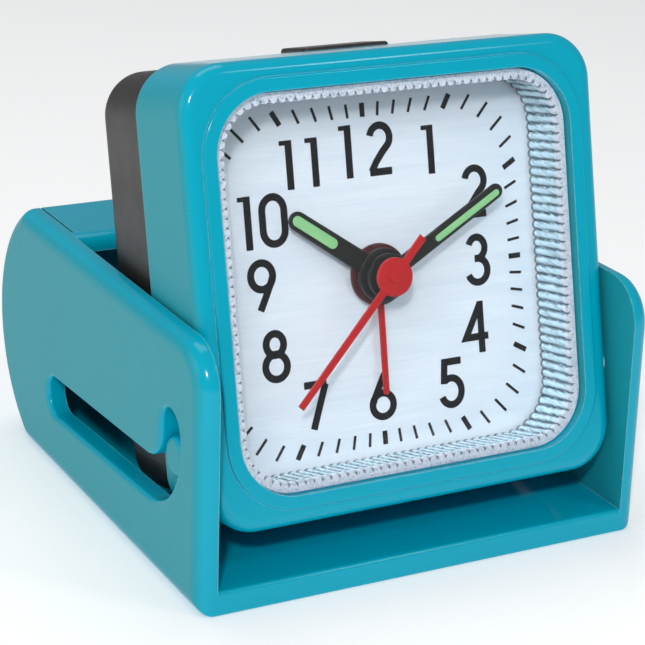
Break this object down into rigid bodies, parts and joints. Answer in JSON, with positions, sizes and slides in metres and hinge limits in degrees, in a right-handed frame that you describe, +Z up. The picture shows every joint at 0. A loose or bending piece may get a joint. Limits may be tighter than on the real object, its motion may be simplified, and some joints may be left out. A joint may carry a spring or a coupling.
{
  "type": "folding travel alarm clock",
  "caption": "Square quartz travel alarm clock that leans back in an open cradle on two side pins and folds face down; ribbed crystal, four hands, snooze button.",
  "frame": {"origin": "middle of the cradle's underside, on the surface it stands on", "axes": "+X to the right as seen from the face, +Y towards the back, +Z up; the face looks along -Y and leans back 12.9 degrees"},
  "size_m": [0.068, 0.0748, 0.0685],
  "materials": {
    "teal_plastic": "moulded, glossy with a fine satin grain on the flat sides",
    "grey_plastic": "dark warm grey moulding, satin",
    "clear_plastic": "clear polystyrene, polished, ribbed side wall",
    "silver_dial": "silvery white, fine horizontal brushing, printed",
    "black_plastic": "moulded, satin",
    "black_paint": "semi-gloss paint with luminous inlay",
    "red_paint": "semi-gloss paint",
    "gear_plastic": "natural acetal",
    "movement_plastic": "moulded, natural",
    "brass": "turned",
    "steel": "zinc plated",
    "spring_steel": "nickel plated",
    "soft_iron": "stamped sheet",
    "magnet": "sintered",
    "copper": null,
    "board_green": "solder mask",
    "cell_jacket": "printed sleeve with no marks"
  },
  "bodies": {
    "cradle": {"cradle": "teal_plastic"},
    "head": {"front_case": "teal_plastic", "rear_case": "grey_plastic", "crystal": "clear_plastic", "dial": "silver_dial", "case_screws": "steel", "movement_housing": "movement_plastic", "middle_plate": "movement_plastic", "movement_cover": "movement_plastic", "movement_screws": "steel", "stator": "soft_iron", "coil_bobbin": "black_plastic", "coil_winding": "copper", "circuit_board": "board_green", "timing_chip": "black_plastic", "timing_crystal": "steel", "battery_cell": "cell_jacket", "positive_contact": "spring_steel", "negative_contact": "spring_steel", "snooze_contact": "spring_steel", "buzzer": "black_plastic"},
    "second": {"second_hand": "red_paint", "second_arbor": "steel"},
    "third": {"third_wheel": "gear_plastic"},
    "minute_drive": {"minute_drive_wheel": "gear_plastic"},
    "intermediate": {"intermediate_wheel": "gear_plastic"},
    "rotor": {"rotor": "magnet"},
    "minute": {"minute_hand": "black_paint", "minute_arbor": "brass"},
    "motion": {"motion_wheel": "gear_plastic", "time_knob": "black_plastic"},
    "hour": {"hour_hand": "black_paint", "hour_wheel": "gear_plastic"},
    "alarm": {"alarm_hand": "red_paint", "alarm_wheel": "gear_plastic"},
    "alarm_set": {"alarm_setting_gear": "gear_plastic", "alarm_knob": "black_plastic"},
    "snooze": {"snooze_button": "black_plastic"},
    "switch": {"alarm_switch": "black_plastic"},
    "door": {"battery_door": "grey_plastic"}
  },
  "joints": [
    {"name": "fold", "type": "hinge", "parent": "cradle", "child": "head", "pos_m": [0, -0.0275, 0.0187], "axis": [1, 0, 0], "range_deg": [0, 102.9]},
    {"name": "second_hand_turn", "type": "hinge", "parent": "head", "child": "second", "pos_m": [0, -0.02909, 0.03907], "axis": [0, 0.9748, -0.2233], "continuous": true},
    {"name": "third_wheel_turn", "type": "hinge", "parent": "head", "child": "third", "pos_m": [0, -0.02742, 0.04636], "axis": [0, 0.9748, -0.2233], "continuous": true},
    {"name": "minute_drive_turn", "type": "hinge", "parent": "head", "child": "minute_drive", "pos_m": [0, -0.02909, 0.03907], "axis": [0, 0.9748, -0.2233], "continuous": true},
    {"name": "intermediate_wheel_turn", "type": "hinge", "parent": "head", "child": "intermediate", "pos_m": [0.00648, -0.02993, 0.03542], "axis": [0, 0.9748, -0.2233], "continuous": true},
    {"name": "rotor_turn", "type": "hinge", "parent": "head", "child": "rotor", "pos_m": [0.01168, -0.02993, 0.03542], "axis": [0, 0.9748, -0.2233], "continuous": true},
    {"name": "minute_hand_turn", "type": "hinge", "parent": "head", "child": "minute", "pos_m": [0, -0.02909, 0.03907], "axis": [0, 0.9748, -0.2233], "continuous": true},
    {"name": "time_knob_turn", "type": "hinge", "parent": "head", "child": "motion", "pos_m": [-0.00779, -0.02809, 0.04346], "axis": [0, 0.9748, -0.2233], "continuous": true},
    {"name": "hour_hand_turn", "type": "hinge", "parent": "head", "child": "hour", "pos_m": [0, -0.02909, 0.03907], "axis": [0, 0.9748, -0.2233], "continuous": true},
    {"name": "alarm_hand_turn", "type": "hinge", "parent": "head", "child": "alarm", "pos_m": [0, -0.02909, 0.03907], "axis": [0, 0.9748, -0.2233], "continuous": true},
    {"name": "alarm_knob_turn", "type": "hinge", "parent": "head", "child": "alarm_set", "pos_m": [0.00779, -0.02809, 0.04346], "axis": [0, 0.9748, -0.2233], "continuous": true},
    {"name": "snooze_press", "type": "slide", "parent": "head", "child": "snooze", "axis": [0, -0.2233, -0.9748], "range_m": [0, 0.0012], "stiffness_N_per_m": 400, "springref_m": -0.0004},
    {"name": "alarm_switch_slide", "type": "slide", "parent": "head", "child": "switch", "axis": [0, 0.2233, 0.9748], "range_m": [0, 0.004]},
    {"name": "battery_door_pull", "type": "slide", "parent": "head", "child": "door", "axis": [0, 0.9748, -0.2233], "range_m": [0, 0.008]}
  ],
  "couplings": [
    {"joint": "third_wheel_turn", "follows": "second_hand_turn", "ratio": -0.13333},
    {"joint": "minute_drive_turn", "follows": "second_hand_turn", "ratio": 0.016667},
    {"joint": "intermediate_wheel_turn", "follows": "second_hand_turn", "ratio": -7.5},
    {"joint": "rotor_turn", "follows": "second_hand_turn", "ratio": 30},
    {"joint": "time_knob_turn", "follows": "minute_hand_turn", "ratio": -0.33333},
    {"joint": "hour_hand_turn", "follows": "minute_hand_turn", "ratio": 0.083333},
    {"joint": "alarm_knob_turn", "follows": "alarm_hand_turn", "ratio": -2}
  ]
}
